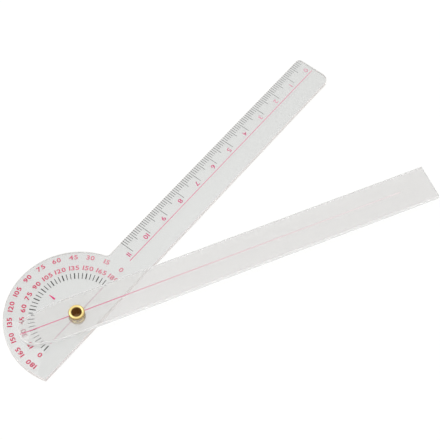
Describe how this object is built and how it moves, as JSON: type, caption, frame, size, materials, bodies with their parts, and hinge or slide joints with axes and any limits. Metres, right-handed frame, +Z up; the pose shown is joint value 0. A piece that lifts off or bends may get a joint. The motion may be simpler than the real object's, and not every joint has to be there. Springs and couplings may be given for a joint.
{
  "type": "angle finder",
  "caption": "Clear plastic angle finder: a half-disc protractor with a graduated ruler arm and a plain swing arm that turns about a hollow brass eyelet.",
  "frame": {"origin": "where the eyelet's axis meets the plate's graduated upper face", "axes": "+X from the eyelet along the ruler arm's centre line, +Y towards the half disc, +Z up along the eyelet's axis, out of the graduated face"},
  "size_m": [0.1707, 0.1007, 0.0055],
  "materials": {
    "plate_plastic": "clear sheet with a faint grey tint, polished faces and saw-cut edges",
    "arm_plastic": "clear sheet with a faint grey tint, polished faces and saw-cut edges",
    "brass": "bright drawn brass, rolled rims",
    "black_ink": "screen-printed ink",
    "red_ink": "screen-printed ink"
  },
  "bodies": {
    "plate": {"protractor_plate": "plate_plastic", "eyelet": "brass", "degree_ticks_fine": "black_ink", "degree_ticks_bold": "black_ink", "right_angle_mark": "red_ink", "zero_line": "red_ink", "ruler_centre_line": "red_ink", "ruler_ticks_mm": "black_ink", "ruler_ticks_half_cm": "black_ink", "ruler_ticks_cm": "black_ink"},
    "arm": {"swing_arm": "arm_plastic", "swing_arm_line": "red_ink"}
  },
  "joints": [
    {"name": "arm_swing", "type": "hinge", "parent": "plate", "child": "arm", "pos_m": [0, 0, 0], "axis": [0, 0, 1], "continuous": true}
  ]
}
